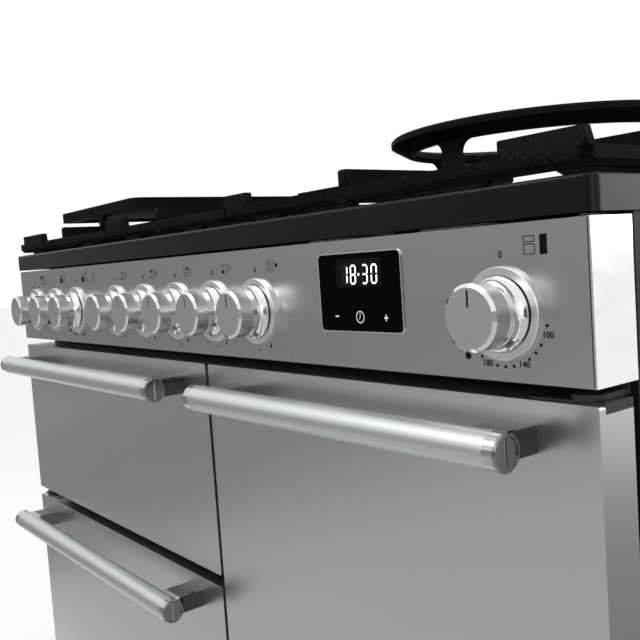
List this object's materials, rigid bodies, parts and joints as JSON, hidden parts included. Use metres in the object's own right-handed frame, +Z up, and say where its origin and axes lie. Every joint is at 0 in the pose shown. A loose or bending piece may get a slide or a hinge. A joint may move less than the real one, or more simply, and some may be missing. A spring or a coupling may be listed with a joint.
{
  "type": "range cooker with double oven",
  "caption": "Freestanding steel range cooker with gas hob, griddle and wok cradle, grill door, side-opening ovens, tube handles and metal knobs.",
  "frame": {"origin": "On the floor, at the middle of the overall box in plan.", "axes": "Front faces -Y, +X is to the right of someone facing the front, +Z is up."},
  "size_m": [1.1, 0.6554, 0.983],
  "materials": {
    "casing_black": "satin",
    "roller_plastic": "matte",
    "foot_zinc": "satin",
    "zinc_sheet": "satin",
    "enamel": "gloss",
    "seal": "matte",
    "wire_chrome": "gloss",
    "oven_steel": "satin",
    "hinge_steel": "satin",
    "brushed": "brushed",
    "handle_metal": "satin",
    "polished": "gloss",
    "bezel_satin": "satin",
    "control_plastic": "matte",
    "clock_glass": "gloss",
    "brass_cast": "satin",
    "hob_enamel": "gloss",
    "burner_aluminium": "matte",
    "cap_enamel": "matte",
    "cast_black": "matte",
    "knob_metal": "satin"
  },
  "bodies": {
    "chassis": {"base_frame": "casing_black", "front_feet": "foot_zinc", "plinth": "casing_black", "side_panels": "casing_black", "back_panel": "zinc_sheet", "front_frame": "casing_black", "grill_liner": "enamel", "left_oven_liner": "enamel", "right_oven_liner": "enamel", "door_seals": "seal", "shelf_ladders": "wire_chrome", "fan_motors": "zinc_sheet", "fan_covers": "enamel", "heating_elements": "oven_steel", "hinge_brackets": "hinge_steel", "fascia_panel": "brushed", "fascia_cheeks": "polished", "knob_bezels": "bezel_satin", "oven_controls": "control_plastic", "clock_glass": "clock_glass", "gas_rail": "brass_cast", "hob_tray": "hob_enamel", "burner_bodies": "burner_aluminium", "burner_caps": "cap_enamel"},
    "grill_door": {"grill_door_skin": "brushed", "grill_door_pan": "enamel", "grill_door_handle": "handle_metal"},
    "left_oven_door": {"left_oven_door_skin": "brushed", "left_oven_door_pan": "enamel", "left_oven_door_handle": "handle_metal"},
    "right_oven_door": {"right_oven_door_skin": "brushed", "right_oven_door_pan": "enamel", "right_oven_door_handle": "handle_metal"},
    "drawer": {"storage_drawer": "zinc_sheet", "drawer_front": "brushed"},
    "left_shelf": {"left_oven_shelf": "wire_chrome"},
    "right_shelf": {"right_oven_shelf": "wire_chrome"},
    "grill_tray": {"grill_pan": "enamel"},
    "left_fan": {"left_oven_fan": "oven_steel"},
    "right_fan": {"right_oven_fan": "oven_steel"},
    "rollers": {"rear_rollers": "roller_plastic"},
    "support_left": {"pan_support_left": "cast_black"},
    "support_centre": {"pan_support_centre": "cast_black"},
    "support_right": {"pan_support_right": "cast_black"},
    "griddle_plate": {"griddle": "cast_black"},
    "wok_ring": {"wok_cradle": "cast_black"},
    "grill_knob_body": {"grill_knob": "knob_metal"},
    "left_oven_function_knob_body": {"left_oven_function_knob": "knob_metal"},
    "left_oven_heat_knob_body": {"left_oven_heat_knob": "knob_metal"},
    "right_oven_knob_body": {"right_oven_knob": "knob_metal"},
    "gas_spindle_1_body": {"gas_spindle_1": "foot_zinc"},
    "gas_knob_1_body": {"gas_knob_1": "knob_metal"},
    "gas_spindle_2_body": {"gas_spindle_2": "foot_zinc"},
    "gas_knob_2_body": {"gas_knob_2": "knob_metal"},
    "gas_spindle_3_body": {"gas_spindle_3": "foot_zinc"},
    "gas_knob_3_body": {"gas_knob_3": "knob_metal"},
    "gas_spindle_4_body": {"gas_spindle_4": "foot_zinc"},
    "gas_knob_4_body": {"gas_knob_4": "knob_metal"},
    "gas_spindle_5_body": {"gas_spindle_5": "foot_zinc"},
    "gas_knob_5_body": {"gas_knob_5": "knob_metal"}
  },
  "joints": [
    {"name": "grill_door_hinge", "type": "hinge", "parent": "chassis", "child": "grill_door", "pos_m": [-0.24875, -0.26225, 0.5209], "axis": [1, 0, 0], "range_deg": [0, 90]},
    {"name": "left_oven_door_hinge", "type": "hinge", "parent": "chassis", "child": "left_oven_door", "pos_m": [-0.528, -0.25425, 0.332], "axis": [0, 0, -1], "range_deg": [0, 110]},
    {"name": "right_oven_door_hinge", "type": "hinge", "parent": "chassis", "child": "right_oven_door", "pos_m": [0.528, -0.25425, 0.46], "axis": [0, 0, 1], "range_deg": [0, 110]},
    {"name": "drawer_slide", "type": "slide", "parent": "chassis", "child": "drawer", "axis": [0, -1, 0], "range_m": [0, 0.38]},
    {"name": "left_oven_shelf_slide", "type": "slide", "parent": "chassis", "child": "left_shelf", "axis": [0, -1, 0], "range_m": [0, 0.02]},
    {"name": "right_oven_shelf_slide", "type": "slide", "parent": "chassis", "child": "right_shelf", "axis": [0, -1, 0], "range_m": [0, 0.02]},
    {"name": "grill_pan_slide", "type": "slide", "parent": "chassis", "child": "grill_tray", "axis": [0, -1, 0], "range_m": [0, 0.02]},
    {"name": "left_oven_fan_spin", "type": "hinge", "parent": "chassis", "child": "left_fan", "pos_m": [-0.24875, 0.16, 0.33515], "axis": [0, 1, 0], "continuous": true},
    {"name": "right_oven_fan_spin", "type": "hinge", "parent": "chassis", "child": "right_fan", "pos_m": [0.30025, 0.16, 0.46335], "axis": [0, 1, 0], "continuous": true},
    {"name": "rear_rollers_turn", "type": "hinge", "parent": "chassis", "child": "rollers", "pos_m": [0, 0.22775, 0.022], "axis": [1, 0, 0], "continuous": true},
    {"name": "pan_support_left_lift", "type": "slide", "parent": "chassis", "child": "support_left", "axis": [0, 0, 1], "range_m": [0, 0.15]},
    {"name": "pan_support_centre_lift", "type": "slide", "parent": "chassis", "child": "support_centre", "axis": [0, 0, 1], "range_m": [0, 0.15]},
    {"name": "pan_support_right_lift", "type": "slide", "parent": "chassis", "child": "support_right", "axis": [0, 0, 1], "range_m": [0, 0.15]},
    {"name": "griddle_lift", "type": "slide", "parent": "support_left", "child": "griddle_plate", "axis": [0, 0, 1], "range_m": [0, 0.12]},
    {"name": "wok_cradle_lift", "type": "slide", "parent": "support_right", "child": "wok_ring", "axis": [0, 0, 1], "range_m": [0, 0.12]},
    {"name": "grill_knob_turn", "type": "hinge", "parent": "chassis", "child": "grill_knob_body", "pos_m": [-0.4764, -0.29225, 0.816], "axis": [0, 1, 0], "range_deg": [0, 290]},
    {"name": "left_oven_function_knob_turn", "type": "hinge", "parent": "chassis", "child": "left_oven_function_knob_body", "pos_m": [-0.3926, -0.29225, 0.816], "axis": [0, 1, 0], "range_deg": [0, 315]},
    {"name": "left_oven_heat_knob_turn", "type": "hinge", "parent": "chassis", "child": "left_oven_heat_knob_body", "pos_m": [-0.3088, -0.29225, 0.816], "axis": [0, 1, 0], "range_deg": [0, 290]},
    {"name": "right_oven_knob_turn", "type": "hinge", "parent": "chassis", "child": "right_oven_knob_body", "pos_m": [0.4733, -0.29225, 0.816], "axis": [0, 1, 0], "range_deg": [0, 290]},
    {"name": "gas_spindle_1_push", "type": "slide", "parent": "chassis", "child": "gas_spindle_1_body", "axis": [0, 1, 0], "range_m": [0, 0.003], "stiffness_N_per_m": 2000},
    {"name": "gas_knob_1_turn", "type": "hinge", "parent": "gas_spindle_1_body", "child": "gas_knob_1_body", "pos_m": [-0.1706, -0.29225, 0.816], "axis": [0, 1, 0], "range_deg": [-210, 0]},
    {"name": "gas_spindle_2_push", "type": "slide", "parent": "chassis", "child": "gas_spindle_2_body", "axis": [0, 1, 0], "range_m": [0, 0.003], "stiffness_N_per_m": 2000},
    {"name": "gas_knob_2_turn", "type": "hinge", "parent": "gas_spindle_2_body", "child": "gas_knob_2_body", "pos_m": [-0.0868, -0.29225, 0.816], "axis": [0, 1, 0], "range_deg": [-210, 0]},
    {"name": "gas_spindle_3_push", "type": "slide", "parent": "chassis", "child": "gas_spindle_3_body", "axis": [0, 1, 0], "range_m": [0, 0.003], "stiffness_N_per_m": 2000},
    {"name": "gas_knob_3_turn", "type": "hinge", "parent": "gas_spindle_3_body", "child": "gas_knob_3_body", "pos_m": [-0.003, -0.29225, 0.816], "axis": [0, 1, 0], "range_deg": [-210, 0]},
    {"name": "gas_spindle_4_push", "type": "slide", "parent": "chassis", "child": "gas_spindle_4_body", "axis": [0, 1, 0], "range_m": [0, 0.003], "stiffness_N_per_m": 2000},
    {"name": "gas_knob_4_turn", "type": "hinge", "parent": "gas_spindle_4_body", "child": "gas_knob_4_body", "pos_m": [0.0808, -0.29225, 0.816], "axis": [0, 1, 0], "range_deg": [-210, 0]},
    {"name": "gas_spindle_5_push", "type": "slide", "parent": "chassis", "child": "gas_spindle_5_body", "axis": [0, 1, 0], "range_m": [0, 0.003], "stiffness_N_per_m": 2000},
    {"name": "gas_knob_5_turn", "type": "hinge", "parent": "gas_spindle_5_body", "child": "gas_knob_5_body", "pos_m": [0.1646, -0.29225, 0.816], "axis": [0, 1, 0], "range_deg": [-210, 0]}
  ]
}
